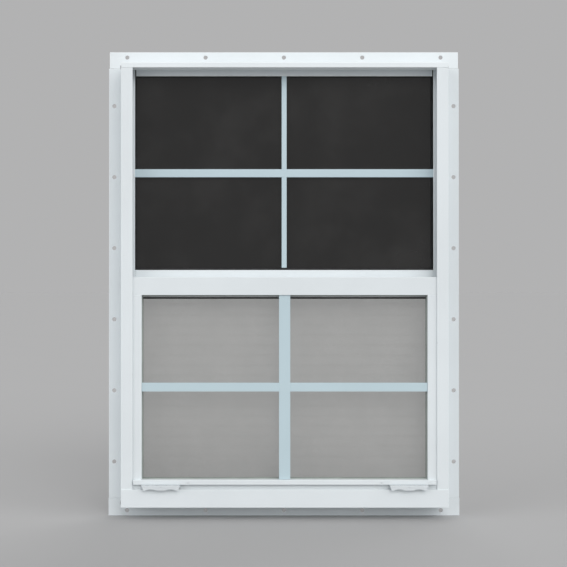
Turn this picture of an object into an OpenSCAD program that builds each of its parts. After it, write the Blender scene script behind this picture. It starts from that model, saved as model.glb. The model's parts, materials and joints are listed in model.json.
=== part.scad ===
// Single-hung sash window: nail-on frame, fixed upper light, sliding lower sash, grid bars,
// half screen and two spring latches. X is to the right seen from the room, Y points outdoors, Z is up.
// Origin: centre of the nail-hole pattern, on the flange face that meets the wall.

// Which sub-part to draw

/* [Overall] */
// Width of the frame body, without the flange
frame_width = 457.2; // [380:0.1:560]
// Height of the frame body, without the flange
frame_height = 621.4; // [500:0.1:760]
// How far the frame stands in front of the flange
front_depth = 35; // [34:0.5:42]
// How far the frame reaches past the flange's contact face
back_depth = 13; // [12.5:0.5:16]
// Wall thickness of the frame and sash profiles
wall = 1.4; // [1.1:0.05:1.7]

/* [Nailing flange] */
// Flange beyond the frame body at each side
flange_side = 21.4; // [16:0.1:40]
// Flange above the frame body
flange_top = 22; // [16:0.1:40]
// Flange below the frame body
flange_bottom = 18.6; // [16:0.1:40]
// Nail hole diameter
nail_hole = 6; // [4:0.1:7]
// From the flange's edge to the nail holes' centres
nail_inset = 7.5; // [6:0.1:9]
// Spacing of the nail holes down each side
side_pitch = 101.6; // [60:0.1:110]
// Spacing of the nail holes along the top and bottom
row_pitch = 112; // [60:0.1:112]
// How much shorter the head's flange is at each end
head_flange_step = 1; // [0:0.1:3]
// How much longer the sill's flange is at each end
sill_flange_step = 0.5; // [0:0.1:3]

/* [Frame members] */
// Face width of each jamb seen from the room
jamb_face = 16; // [12:0.5:16.5]
// Reach of the parting fin that the sash slides against
fin_reach = 17; // [16:0.5:22]
// Reach of the fin in line with the flange
inner_fin_reach = 11; // [8:0.5:13]
// Reach of the outdoor leg that keeps the screen in
back_leg_reach = 15; // [10:0.5:18]
// Clear depth of the sash track
sash_track = 21.6; // [21:0.1:22.2]
// Height of the head's front lip
head_lip = 7; // [5:0.5:9]
// How far the head's parting fin hangs below the frame's top
head_fin = 14.6; // [13:0.1:20]
// Height of the sill's front face
sill_face = 25.2; // [24:0.1:25.6]
// Height of the sill's hollow box that the sash closes on
sill_box = 11.8; // [11:0.1:12.2]
// Top of the fixed meeting rail above the frame's bottom
meeting_height = 331.7; // [260:0.1:400]
// Height of the fixed meeting rail
fixed_rail_height = 27.3; // [24:0.1:34]
// Outside diameter of the screw bosses
boss = 7; // [6.4:0.1:7.4]
// Diameter of the frame and sash screws
screw = 4; // [3.4:0.1:4.4]
// Length of the frame and sash screws
screw_length = 20; // [16:1:32]
// Clearance where two cut profiles meet
cope_gap = 0.2; // [0.1:0.05:0.4]

/* [Sash] */
// Gap between the sash and the jamb at each side
sash_gap = 1.6; // [1.5:0.1:2.4]
// Gap between the sash and the jamb's front leg
sash_clear = 0.8; // [0.5:0.1:1.2]
// Gap between the sash and the parting fin
pile_gap = 1.3; // [1.2:0.1:2]
// Width of the sash stiles
stile_width = 25.5; // [22:0.5:32]
// Height of the sash's top rail
top_rail = 25.2; // [22:0.1:32]
// Height of the sash's bottom rail
bottom_rail = 24.1; // [23.8:0.1:26]
// How far the fixed rail stands above the closed sash
rail_step = 10.2; // [6:0.1:16]
// Gap under the closed sash
seal_gap = 2.6; // [2:0.1:4]
// Depth of the glazing channel
channel_depth = 7.1; // [6:0.1:7.4]
// From the sash's front to the middle of its glass
glass_setback = 10.8; // [10.4:0.1:11.4]
// Height of the lift lip
lip_height = 6.3; // [5:0.1:6.5]
// How far the lift lip stands out
lip_reach = 5.2; // [4.5:0.1:9]
// Running clearance between pieces that slide
run_gap = 0.3; // [0.2:0.05:0.4]

/* [Glass and bars] */
// Glass thickness
glass = 3.2; // [2:0.1:4]
// Gasket on each face of the sash glass
gasket_leg = 1.7; // [1:0.1:1.9]
// How far the gaskets show past the profile's edge
gasket_show = 1.2; // [0.5:0.1:2]
// Height of the upper horizontal bar
upper_bar_height = 11.4; // [6:0.1:20]
// Width of the upper vertical bar
upper_bar_width = 7; // [6:0.1:20]
// Height of the sash's horizontal bar
sash_bar_height = 12; // [8:0.1:24]
// Width of the sash's vertical bar
sash_bar_width = 15.6; // [8:0.1:24]
// Thickness of the sash's bars
sash_bar_depth = 5.8; // [4:0.1:6]
// Wall of the hollow sash bars
bar_wall = 0.9; // [0.6:0.1:1.2]

/* [Latches] */
// From the frame's outer face to the middle of a latch
latch_inset = 56.1; // [52:0.1:80]
// Length of a latch's finger tab
latch_length = 54; // [44:1:60]
// Height of a latch's finger tab
latch_height = 7.1; // [6:0.1:9]
// How far a finger tab stands in front of the sill
latch_reach = 6.2; // [4:0.1:9]
// Travel of a latch
latch_travel = 5; // [4.5:0.1:5.5]
// Height at which the vent position holds the sash
vent_lift = 95; // [40:1:160]

/* [Half screen] */
// Width of the screen's bars
screen_bar = 19; // [16:0.5:24]
// Thickness of the screen's bars
screen_depth = 7.9; // [6:0.1:8.6]
// Wall of the screen's bars
screen_wall = 0.6; // [0.4:0.1:0.8]
// Top of the screen below the top of the fixed rail
screen_drop = 22.3; // [12:0.1:26]
// Width of the spline's groove
spline = 2.2; // [1.8:0.1:3]
// Gap at the sprung side of the screen
screen_spring_gap = 3; // [2:0.1:3.6]

/* [Hidden] */
$fn = 48;
over = 1;
merge = 0.3;
half_w = frame_width / 2;
flange_height = frame_height + flange_top + flange_bottom;
flange_half = half_w + flange_side;
flange_z = flange_height / 2;
top_z = flange_z - flange_top;
base_z = flange_bottom - flange_z;
front_y = -front_depth;
back_y = back_depth;
fin_y = front_y + wall + sash_track;
glaze_y = fin_y + wall;
web_x = half_w - wall;
shelf_z = base_z + sill_box;
sill_top = base_z + sill_face;
sill_flange_z = base_z + 6.3;
sill_back = 20.4;
head_back = 14;
upright = 10.6;
meet_z = base_z + meeting_height;
boss_front_y = (front_y + wall + fin_y) / 2;
boss_back_y = back_y / 2;
boss_top_z = top_z - wall - boss / 2 + merge;
boss_base_z = base_z + wall + boss / 2 - merge;
bore = screw + 0.1;
screw_head = screw * 1.75;
screw_head_h = 2.2;
rail_floor_z = meet_z - 9.9;
rail_base_z = meet_z - fixed_rail_height;
rail_boss_z = rail_base_z + wall + boss / 2 - merge;
rail_boss_y = glaze_y / 2;

sash_half = web_x - sash_gap;
sash_y = front_y + wall + sash_clear;
sash_depth = sash_track - sash_clear - pile_gap;
sash_back = sash_y + sash_depth;
sash_top = meet_z - rail_step;
sash_base = shelf_z + seal_gap;
stile_z0 = sash_base + bottom_rail;
stile_z1 = sash_top - top_rail;
stile_in = sash_half - stile_width;
slot_half = glass / 2 + gasket_leg;
sash_glass_y = sash_y + glass_setback;
pane_bite = channel_depth - 1.5;
gasket_bite = channel_depth - 0.2;
full_lift = boss_top_z - boss / 2 - 0.4 - sash_top;
lip_end = half_w - jamb_face - 1.2;
lip_y = sash_y - lip_reach;
lip_z = stile_z0 - lip_height;
lip_wall = 1.6;
chamber_z0 = sash_base + wall;
chamber_z1 = stile_z0 - channel_depth - wall;
sash_screw_x = sash_half - (stile_width - channel_depth) / 2;
sash_screw_y = sash_back - wall - screw_head / 2 - 0.4;
bar_y = sash_glass_y - slot_half - 0.1 - sash_bar_depth;
sash_bar_z = (stile_z0 + stile_z1) / 2;
bar_pin = 2.4;

upper_glass_y = glaze_y / 2;
upper_bite = 11.4;
upper_out = web_x - cope_gap;
upper_z0 = rail_floor_z + wall + 0.1;
upper_z1 = top_z - wall - cope_gap;
upper_bar_y0 = glaze_y + 0.3;
upper_bar_y1 = upper_glass_y - glass / 2 - 0.2;
upper_bar_z = (meet_z + top_z - head_fin) / 2;

latch_x = half_w - latch_inset;
tab_y1 = front_y - wall - 0.4;
tab_z1 = lip_z - run_gap;
neck_half = 12;
neck_z0 = sill_top + 0.4;
neck_z1 = chamber_z1 - 0.5;
slider_y0 = sash_y + wall + 0.4;
slider_y1 = slider_y0 + 11;
slider_z0 = chamber_z0 + 0.4;
slider_z1 = chamber_z1 - 0.4;
slider_x0 = latch_x - 20.5;
slider_x1 = latch_x + 26.5;
tongue_y0 = slider_y0 + 0.4;
tongue_y1 = tongue_y0 + 5;
tongue_z0 = slider_z0 + 4;
tongue_z1 = tongue_z0 + 6.2;
tongue_tip = sash_half - 0.4;
keeper_gap = 0.4;
stop_x = slider_x0 - 14;

screen_y = wall + (back_y - 2 * wall - screen_depth) / 2;
screen_x0 = -web_x + 0.4;
screen_x1 = web_x - screen_spring_gap;
screen_z0 = boss_base_z + boss / 2 + 0.2;
screen_z1 = meet_z - screen_drop;
spline_land = 0.6;
spline_deep = 2.6;
mesh_thick = 0.3;

// ---------- helpers ----------

// Box between two corners
module block(a, b) {
  translate(a) cube(b - a);
}

// Extrudes a (Y, Z) outline along X between two stations
module along_x(x0, x1) {
  translate([x0, 0, 0]) rotate([90, 0, 90]) linear_extrude(x1 - x0) children();
}

// Extrudes an (X, Z) outline along Y between two stations
module along_y(y0, y1) {
  translate([0, y1, 0]) rotate([90, 0, 0]) linear_extrude(y1 - y0) children();
}

// Round bar along X
module rod_x(x0, x1, d, y, z) {
  translate([x0, y, z]) rotate([90, 0, 90]) cylinder(h = x1 - x0, d = d);
}

// Round bar along Y
module rod_y(y0, y1, d, x, z) {
  translate([x, y0, z]) rotate([-90, 0, 0]) cylinder(h = y1 - y0, d = d);
}

// Both sides of the window
module both_sides() {
  children();
  mirror([1, 0, 0]) children();
}

// Pan-head screw: the head sits above Z = 0 and the shank hangs below
module pan_screw() {
  difference() {
    union() {
      cylinder(h = screw_head_h, d = screw_head);
      translate([0, 0, -screw_length]) cylinder(h = screw_length + merge, d = screw);
    }
    for (a = [0, 90])
      rotate([0, 0, a]) translate([-screw_head / 3, -0.4, screw_head_h - 1.1]) cube([screw_head / 1.5, 0.8, 2]);
  }
}

// Screw driven through a jamb from outside, on the left
module jamb_screw(y, z) {
  translate([-half_w, y, z]) rotate([0, -90, 0]) pan_screw();
}

// Open screw boss along X, with its slot facing down (-1) or up (1)
module screw_boss(x0, x1, y, z, slot) {
  difference() {
    rod_x(x0, x1, boss, y, z);
    rod_x(x0 - over, x1 + over, bore, y, z);
    translate([0, 0, min(0, slot) * boss])
      block([x0 - over, y - 0.8, z], [x1 + over, y + 0.8, z + boss]);
  }
}

// ---------- frame ----------

// Nail holes of a top or bottom row
module row_holes(z) {
  for (i = [-2:2]) rod_y(-over, wall + over, nail_hole, i * row_pitch, z);
}

module head() color([0.93, 0.96, 0.97]) {
  difference() {
    union() {
      block([-half_w, front_y, top_z - wall], [half_w, back_y, top_z]);
      block([-half_w, front_y, top_z - head_lip], [half_w, front_y + wall, top_z]);
      block([-half_w, back_y - wall, top_z - head_back], [half_w, back_y, top_z]);
      block([head_flange_step - flange_half, 0, top_z - wall],
            [flange_half - head_flange_step, wall, flange_z]);
    }
    row_holes(flange_z - nail_inset);
  }
  fin_end = half_w - fin_reach - 1.6;
  block([-fin_end, fin_y, top_z - head_fin], [fin_end, glaze_y, top_z - wall + merge]);
  inner_end = half_w - inner_fin_reach - 0.6;
  block([-inner_end, 0, top_z - 11], [inner_end, wall, top_z - wall + merge]);
  for (y = [boss_front_y, boss_back_y]) screw_boss(-web_x, web_x, y, boss_top_z, -1);
}

module jamb() {
  x0 = -half_w;
  leg_z1 = top_z - head_lip - cope_gap;
  web_z0 = base_z + sill_back + cope_gap;
  web_z1 = top_z - head_back - cope_gap;
  flange_z0 = sill_flange_z + cope_gap;
  difference() {
    union() {
      block([x0, front_y, web_z0], [x0 + wall, back_y, web_z1]);
      block([x0, front_y + wall, web_z1 - over], [x0 + wall, back_y - wall - cope_gap, top_z - wall]);
      block([x0, front_y, base_z + wall], [x0 + wall, back_y - wall - cope_gap, web_z0 + over]);
    }
    block([x0 - over, -cope_gap, base_z], [x0 + wall + over, wall + cope_gap, flange_z0 - cope_gap / 2]);
    for (y = [boss_front_y, boss_back_y], z = [boss_base_z, boss_top_z])
      rod_x(x0 - over, x0 + 2 * wall, screw + 0.4, y, z);
    rod_x(x0 - over, x0 + 2 * wall, screw + 0.4, rail_boss_y, rail_boss_z);
    for (lift = [0, vent_lift, full_lift])
      block([x0 - over, tongue_y0 - keeper_gap, tongue_z0 - keeper_gap + lift],
            [x0 + 2 * wall, tongue_y1 + keeper_gap, tongue_z1 + keeper_gap + lift]);
  }
  block([x0, front_y, shelf_z + cope_gap], [x0 + jamb_face, front_y + wall, leg_z1]);
  block([x0, fin_y, shelf_z + cope_gap], [x0 + fin_reach, glaze_y, top_z - wall]);
  block([x0, back_y - wall, web_z0], [x0 + back_leg_reach, back_y, web_z1]);
  difference() {
    block([-flange_half, 0, flange_z0], [x0 + inner_fin_reach, wall, top_z - wall - cope_gap]);
    for (i = [-2.5:2.5]) rod_y(-over, wall + over, nail_hole, nail_inset - flange_half, i * side_pitch);
  }
}

module left_jamb() color([0.88, 0.90, 0.91]) jamb();

module right_jamb() color([0.89, 0.91, 0.92]) mirror([1, 0, 0]) jamb();

module sill() color([0.88, 0.90, 0.91]) {
  box_end = web_x - cope_gap;
  upright_end = half_w - fin_reach - cope_gap;
  sill_flange = flange_half + sill_flange_step;
  difference() {
    union() {
      block([-half_w, front_y - wall, base_z], [half_w, back_y, base_z + wall]);
      block([-half_w, front_y - wall, base_z], [half_w, front_y, sill_top]);
      block([-half_w, back_y - wall, base_z], [half_w, back_y, base_z + sill_back]);
      block([-sill_flange, 0, -flange_z], [sill_flange, wall, sill_flange_z]);
      block([-box_end, front_y - merge, shelf_z - wall], [box_end, glaze_y, shelf_z]);
      block([-box_end, fin_y, base_z + merge], [box_end, glaze_y, shelf_z]);
      block([-upright_end, fin_y, shelf_z - merge], [upright_end, glaze_y, shelf_z + upright]);
    }
    row_holes(nail_inset - flange_z);
    for (s = [-1, 1]) translate([s * half_w * 0.65, 0, base_z + wall + 0.5])
      block([-8, back_y - wall - over, 0], [8, back_y + over, 4]);
  }
  for (y = [boss_front_y, boss_back_y]) screw_boss(-web_x, web_x, y, boss_base_z, 1);
}

module fixed_rail() color([0.87, 0.89, 0.90]) {
  front_end = half_w - fin_reach - cope_gap;
  back_end = half_w - inner_fin_reach - cope_gap;
  block([-front_end, fin_y, rail_base_z], [front_end, glaze_y, meet_z]);
  block([-back_end, 0, rail_base_z], [back_end, wall, meet_z - 5]);
  for (z = [rail_floor_z, rail_base_z]) {
    block([-front_end, glaze_y - merge, z], [front_end, merge, z + wall]);
    block([-web_x, glaze_y + cope_gap, z], [web_x, -cope_gap, z + wall]);
  }
  screw_boss(-web_x, web_x, rail_boss_y, rail_boss_z, 1);
}

module corner_screws() color([0.62, 0.63, 0.64]) {
  both_sides()
    for (y = [boss_front_y, boss_back_y], z = [boss_base_z, boss_top_z]) jamb_screw(y, z);
}

module fixed_rail_screws() color([0.62, 0.63, 0.64]) {
  both_sides() jamb_screw(rail_boss_y, rail_boss_z);
}

// ---------- upper light ----------

module upper_pane(gap) {
  x = upper_out - 2 + gap;
  block([-x, upper_glass_y - glass / 2 - gap, upper_z0 + 2 - gap],
        [x, upper_glass_y + glass / 2 + gap, upper_z1 - 2 + gap]);
}

module upper_glass() color([0.2, 0.2, 0.2]) upper_pane(0);

module upper_gasket() color([0.12, 0.13, 0.12]) {
  hole = upper_out - upper_bite;
  difference() {
    block([-upper_out, glaze_y + cope_gap, upper_z0], [upper_out, -cope_gap, upper_z1]);
    block([-hole, glaze_y - over, upper_z0 + upper_bite], [hole, over, upper_z1 - upper_bite]);
    upper_pane(0);
  }
}

upper_bar_end = upper_out - upper_bite - 0.3;
upper_bar_low = upper_z0 + upper_bite + 0.3;
upper_bar_high = upper_z1 - upper_bite - 0.3;
upper_bar_mid = (upper_bar_y0 + upper_bar_y1) / 2;

module upper_bar_horizontal() color([0.74, 0.80, 0.83]) {
  z0 = upper_bar_z - upper_bar_height / 2;
  difference() {
    block([-upper_bar_end, upper_bar_y0, z0], [upper_bar_end, upper_bar_y1, z0 + upper_bar_height]);
    block([-upper_bar_width / 2 - 0.05, upper_bar_mid, z0 - over],
          [upper_bar_width / 2 + 0.05, upper_bar_y1 + over, z0 + upper_bar_height + over]);
  }
}

module upper_bar_vertical() color([0.74, 0.80, 0.83]) {
  z0 = upper_bar_z - upper_bar_height / 2;
  difference() {
    block([-upper_bar_width / 2, upper_bar_y0, upper_bar_low],
          [upper_bar_width / 2, upper_bar_y1, upper_bar_high]);
    block([-upper_bar_width, upper_bar_y0 - over, z0 - 0.05],
          [upper_bar_width, upper_bar_mid + 0.05, z0 + upper_bar_height + 0.05]);
  }
}

// ---------- half screen ----------

// Screen bar profile in (width from the outer edge, depth from the room side)
module screen_section() {
  groove = screen_bar - spline_land - spline;
  difference() {
    square([screen_bar, screen_depth]);
    translate([screen_wall, screen_wall])
      square([groove - 2 * screen_wall, screen_depth - 2 * screen_wall]);
    translate([groove, -over]) square([spline, spline_deep + over]);
  }
}

// A screen bar lying along X with its outer edge at Z = 0 and its groove above
module screen_bar_x(length) {
  rotate([90, 0, 90]) linear_extrude(length) mirror([1, -1, 0]) screen_section();
}

module screen_bottom_bar() color([0.86, 0.87, 0.88])
  translate([screen_x0 + screen_bar, screen_y, screen_z0])
    screen_bar_x(screen_x1 - screen_x0 - 2 * screen_bar);

module screen_top_bar() color([0.86, 0.87, 0.88])
  translate([screen_x0 + screen_bar, screen_y, screen_z1]) mirror([0, 0, 1])
    screen_bar_x(screen_x1 - screen_x0 - 2 * screen_bar);

module screen_left_bar() color([0.86, 0.87, 0.88])
  translate([screen_x0, screen_y, screen_z0 + screen_bar])
    linear_extrude(screen_z1 - screen_z0 - 2 * screen_bar) screen_section();

module screen_right_bar() color([0.86, 0.87, 0.88])
  translate([screen_x1, screen_y, screen_z0 + screen_bar]) mirror([1, 0, 0])
    linear_extrude(screen_z1 - screen_z0 - 2 * screen_bar) screen_section();

// Plastic corner key with a leg into each bar
module screen_corner() {
  leg = screen_bar - spline_land - spline - 4 * screen_wall;
  inset = 2 * screen_wall;
  difference() {
    union() {
      block([0, 0, 0], [screen_bar, screen_depth, screen_bar]);
      block([screen_bar - over, inset, inset], [screen_bar + 22, screen_depth - inset, inset + leg]);
      block([inset, inset, screen_bar - over], [inset + leg, screen_depth - inset, screen_bar + 22]);
    }
    groove = screen_bar - spline_land - spline;
    block([groove, -over, groove], [screen_bar + over, spline_deep, groove + spline]);
    block([groove, -over, groove], [groove + spline, spline_deep, screen_bar + over]);
  }
}

module screen_corners() color([0.82, 0.83, 0.84]) {
  w = screen_x1 - screen_x0;
  h = screen_z1 - screen_z0;
  translate([screen_x0, screen_y, screen_z0])
    for (i = [0, 1], j = [0, 1])
      translate([i * w, 0, j * h]) mirror([i, 0, 0]) mirror([0, 0, j]) screen_corner();
}

spline_in = screen_bar - spline_land;

module screen_loop(inset, y0, y1) {
  block([screen_x0 + inset, y0, screen_z0 + inset], [screen_x1 - inset, y1, screen_z1 - inset]);
}

module screen_spline() color([0.06, 0.06, 0.06]) difference() {
  screen_loop(spline_in - spline, screen_y - mesh_thick, screen_y + spline_deep - 0.1);
  screen_loop(spline_in, screen_y - over, screen_y + spline_deep);
}

module screen_mesh() color([0.6, 0.6, 0.6])
  screen_loop(spline_in, screen_y - mesh_thick, screen_y);

// Bowed leaf springs between the screen's right bar and the jamb
module screen_springs() color([0.66, 0.67, 0.68]) {
  leaf = 44;
  thick = 0.4;
  bow = screen_spring_gap - thick - 0.1;
  span = screen_z1 - screen_z0;
  rise = [for (i = [0:24]) [bow * sin(i * 7.5), (i / 24 - 0.5) * leaf]];
  back = [for (i = [24:-1:0]) [rise[i][0] + thick, rise[i][1]]];
  for (t = [0.25, 0.75])
    translate([screen_x1, 0, screen_z0 + t * span])
      along_y(screen_y + 1, screen_y + screen_depth - 1) polygon(concat(rise, back));
}

// Tabs for lifting the screen out, on its bottom bar
module screen_pull_tabs() color([0.80, 0.81, 0.82])
  for (x = [-0.3, 0.3] * frame_width)
    translate([x, screen_y, screen_z0 + 3]) difference() {
      block([-7, -1, 0], [7, 0, 11]);
      rod_y(-1 - over, over, 4, 0, 6.5);
    }

// ---------- sash ----------

// Sash profile in (depth from the front, distance from the glass-side edge)
module sash_section(size) {
  front_pocket = glass_setback - slot_half - 2 * wall;
  back_pocket = sash_depth - glass_setback - slot_half - 2 * wall;
  difference() {
    square([sash_depth, size]);
    translate([wall, channel_depth + wall])
      square([sash_depth - 2 * wall, size - channel_depth - 2 * wall]);
    translate([glass_setback - slot_half, -over]) square([2 * slot_half, channel_depth + over]);
    translate([wall, wall]) square([front_pocket, channel_depth - wall]);
    translate([glass_setback + slot_half + wall, wall]) square([back_pocket, channel_depth - wall]);
  }
}

// Rail along X with its glass-side edge at Z = 0 and its body above
module rail(size) {
  translate([-sash_half, sash_y, 0]) rotate([90, 0, 90])
    linear_extrude(2 * sash_half) sash_section(size);
}

// What the two screws at a rail's ends cut, for a rail standing on Z = 0
module rail_screw_cuts(size) {
  both_sides() translate([-sash_screw_x, sash_screw_y, 0]) {
    translate([0, 0, -over]) cylinder(h = channel_depth + wall + 2 * over, d = screw + 0.3);
    translate([0, 0, size - 2 * wall]) cylinder(h = 3 * wall, d = screw_head + 1.5);
  }
}

// Hole for the vertical bar's pin in a rail standing on Z = 0
module rail_pin_hole() {
  translate([0, bar_y + sash_bar_depth / 2, -over])
    cylinder(h = wall + 2 * over, d = bar_pin + 0.2);
}

module sash_top_rail() color([0.86, 0.88, 0.89])
  translate([0, 0, stile_z1]) difference() {
    rail(top_rail);
    rail_screw_cuts(top_rail);
    rail_pin_hole();
  }

module sash_bottom_rail() color([0.90, 0.92, 0.93]) difference() {
  union() {
    translate([0, 0, stile_z0]) mirror([0, 0, 1]) difference() {
      rail(bottom_rail);
      rail_screw_cuts(bottom_rail);
      rail_pin_hole();
    }
    block([-lip_end, lip_y, stile_z0 - lip_wall], [lip_end, sash_y + merge, stile_z0]);
    block([-lip_end, lip_y, lip_z], [lip_end, lip_y + lip_wall, stile_z0]);
  }
  both_sides() {
    block([-latch_x - neck_half - latch_travel - 0.4, sash_y - over, neck_z0 - 0.3],
          [-latch_x + neck_half + 0.4, sash_y + wall + 0.1, neck_z1 + 0.3]);
    rod_y(lip_y - over, lip_y + lip_wall + over, 1.6, 0.295 * frame_width, lip_z + 2.6);
  }
}

module stile() {
  bar_pin_y = bar_y + sash_bar_depth / 2;
  difference() {
    translate([-stile_in, sash_y, stile_z0]) rotate([0, 0, 90])
      linear_extrude(stile_z1 - stile_z0) sash_section(stile_width);
    rod_x(-stile_in - wall - 0.5, -stile_in + over, bar_pin + 0.2, bar_pin_y, sash_bar_z);
  }
  translate([-sash_screw_x, sash_screw_y, stile_z0]) difference() {
    union() {
      cylinder(h = stile_z1 - stile_z0, d = boss - 0.4);
      block([-1.2, 0, 0], [1.2, sash_back - wall + merge - sash_screw_y, stile_z1 - stile_z0]);
    }
    translate([0, 0, -over]) cylinder(h = stile_z1 - stile_z0 + 2 * over, d = bore);
  }
}

module sash_left_stile() color([0.88, 0.90, 0.91]) stile();

module sash_right_stile() color([0.88, 0.90, 0.91]) mirror([1, 0, 0]) stile();

module sash_screws() color([0.62, 0.63, 0.64]) both_sides() {
  floor_h = channel_depth + wall;
  translate([-sash_screw_x, sash_screw_y, stile_z1 + floor_h]) pan_screw();
  translate([-sash_screw_x, sash_screw_y, stile_z0 - floor_h]) mirror([0, 0, 1]) pan_screw();
}

module sash_pane(bite, half_depth) {
  x = stile_in + bite;
  block([-x, sash_glass_y - half_depth, stile_z0 - bite], [x, sash_glass_y + half_depth, stile_z1 + bite]);
}

module sash_glass() color([0.75, 0.82, 0.82, 0.35]) sash_pane(pane_bite, glass / 2);

module sash_gasket() color([0.36, 0.38, 0.36]) difference() {
  sash_pane(gasket_bite, slot_half - 0.1);
  sash_pane(-gasket_show, slot_half + over);
  sash_pane(pane_bite, glass / 2);
}

// Hollow bar outline in (across, depth)
module bar_section(width) {
  difference() {
    square([width, sash_bar_depth]);
    translate([bar_wall, bar_wall]) square([width - 2 * bar_wall, sash_bar_depth - 2 * bar_wall]);
  }
}

sash_bar_end = stile_in - 0.1;
sash_bar_low = stile_z0 + 0.1;
sash_bar_high = stile_z1 - 0.1;
bar_mid = bar_y + sash_bar_depth / 2;

module sash_bar_vertical() color([0.73, 0.80, 0.83]) difference() {
  translate([-sash_bar_width / 2, bar_y, sash_bar_low])
    linear_extrude(sash_bar_high - sash_bar_low) bar_section(sash_bar_width);
  block([-sash_bar_width, bar_mid, sash_bar_z - sash_bar_height / 2 - 0.05],
        [sash_bar_width, bar_mid + sash_bar_depth, sash_bar_z + sash_bar_height / 2 + 0.05]);
}

module sash_bar_horizontal() color([0.73, 0.80, 0.83]) difference() {
  translate([0, bar_y, sash_bar_z - sash_bar_height / 2])
    along_x(-sash_bar_end, sash_bar_end) mirror([1, -1, 0]) bar_section(sash_bar_height);
  block([-sash_bar_width / 2 - 0.05, bar_y - over, sash_bar_z - sash_bar_height],
        [sash_bar_width / 2 + 0.05, bar_mid + 0.05, sash_bar_z + sash_bar_height]);
}

// Plastic plug in a bar's end, with a pin into the sash; the bar's end is at Z = 0
module bar_plug(width) {
  w = width / 2 - bar_wall - 0.1;
  d = sash_bar_depth / 2 - bar_wall - 0.1;
  block([-w, -d, -12], [w, d, 0]);
  translate([0, 0, -merge]) cylinder(h = 3.2, d = bar_pin);
}

module sash_bar_plugs() color([0.85, 0.86, 0.86]) {
  translate([0, bar_mid, sash_bar_high]) bar_plug(sash_bar_width);
  translate([0, bar_mid, sash_bar_low]) mirror([0, 0, 1]) bar_plug(sash_bar_width);
  both_sides()
    translate([sash_bar_end, bar_mid, sash_bar_z]) rotate([0, 90, 0]) bar_plug(sash_bar_height);
}

module sash_glides() color([0.92, 0.92, 0.90]) both_sides()
  for (z = [stile_z0 + 10, stile_z1 - 40])
    block([-sash_half - sash_gap + run_gap, sash_y + 6, z], [-sash_half, sash_y + 15, z + 30]);

module stile_pile() {
  block([-sash_half + 1.6, sash_back, stile_z0 + 1],
        [-half_w + fin_reach - 1.4, sash_back + pile_gap - run_gap, stile_z1 - 1]);
}

module left_stile_pile() color([0.45, 0.46, 0.46]) stile_pile();

module right_stile_pile() color([0.45, 0.46, 0.46]) mirror([1, 0, 0]) stile_pile();

module meeting_rail_pile() color([0.45, 0.46, 0.46])
  block([-stile_in, sash_back, sash_top - 15], [stile_in, sash_back + pile_gap - run_gap, sash_top - 9]);

module bottom_seal() color([0.2, 0.2, 0.2])
  block([-lip_end, sash_y + 2.8, sash_base - seal_gap + run_gap], [lip_end, sash_y + 8.8, sash_base]);

// ---------- latches ----------

// Left latch, drawn back; it shoots towards -X
module latch() {
  half = latch_length / 2;
  tab_z0 = tab_z1 - latch_height;
  difference() {
    along_y(tab_y1 - latch_reach, tab_y1) polygon([
      [-latch_x - half, tab_z1], [-latch_x + half, tab_z1],
      [-latch_x + half - 2.8, tab_z0], [-latch_x - half + 2.8, tab_z0]]);
    for (s = [-1, 1])
      rod_y(tab_y1 - latch_reach - over, tab_y1 - 1.5, 36, s * latch_length / 4 - latch_x, tab_z0 - 16);
    rod_y(tab_y1 - latch_reach - over, tab_y1 - latch_reach + 0.6, 2, -latch_x, tab_z1 - 2.6);
  }
  block([-latch_x - neck_half, tab_y1 - merge, neck_z0], [-latch_x + neck_half, slider_y0 + merge, neck_z1]);
  block([-slider_x1, slider_y0, slider_z0], [-slider_x0, slider_y1, slider_z1]);
  along_y(tongue_y0, tongue_y1) polygon([
    [-slider_x1 + over, tongue_z0], [-slider_x1 + over, tongue_z1],
    [-tongue_tip, tongue_z1], [-tongue_tip, tongue_z0 + 2.6], [-tongue_tip + 2.6, tongue_z0]]);
}

module left_latch() color([0.84, 0.88, 0.90]) latch();

module right_latch() color([0.84, 0.88, 0.90]) mirror([1, 0, 0]) latch();

// Folded flat spring between the left latch and its stop
module latch_spring() {
  thick = 0.5;
  folds = 5;
  x0 = -slider_x0 + 0.1;
  pitch = (slider_x0 - stop_x - 0.1 - thick) / folds;
  mid_z = (slider_z0 + slider_z1) / 2;
  reach = 3;
  along_y(slider_y0 + 3, slider_y0 + 8) translate([x0 + thick / 2, mid_z]) {
    for (i = [0:folds]) translate([i * pitch - thick / 2, -reach]) square([thick, 2 * reach]);
    for (i = [0:folds - 1]) {
      side = i % 2 == 0 ? 1 : -1;
      translate([(i + 0.5) * pitch, side * reach]) difference() {
        circle(d = pitch + thick);
        circle(d = pitch - thick);
        translate([-pitch, side > 0 ? -2 * pitch : 0]) square([2 * pitch, 2 * pitch]);
      }
    }
  }
}

module left_latch_spring() color([0.66, 0.67, 0.68]) latch_spring();

module right_latch_spring() color([0.66, 0.67, 0.68]) mirror([1, 0, 0]) latch_spring();

module latch_spring_stops() color([0.80, 0.82, 0.82]) both_sides()
  block([-stop_x, slider_y0, chamber_z0], [-stop_x + 6, slider_y1, chamber_z1]);

// ---------- output ----------

head();
left_jamb();
right_jamb();
sill();
fixed_rail();
corner_screws();
fixed_rail_screws();
upper_glass();
upper_gasket();
upper_bar_horizontal();
upper_bar_vertical();
screen_top_bar();
screen_bottom_bar();
screen_left_bar();
screen_right_bar();
screen_corners();
screen_mesh();
screen_spline();
screen_springs();
screen_pull_tabs();
sash_top_rail();
sash_bottom_rail();
sash_left_stile();
sash_right_stile();
sash_screws();
sash_glass();
sash_gasket();
sash_bar_horizontal();
sash_bar_vertical();
sash_bar_plugs();
sash_glides();
left_stile_pile();
right_stile_pile();
meeting_rail_pile();
bottom_seal();
left_latch();
right_latch();
left_latch_spring();
right_latch_spring();
latch_spring_stops();
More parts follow.
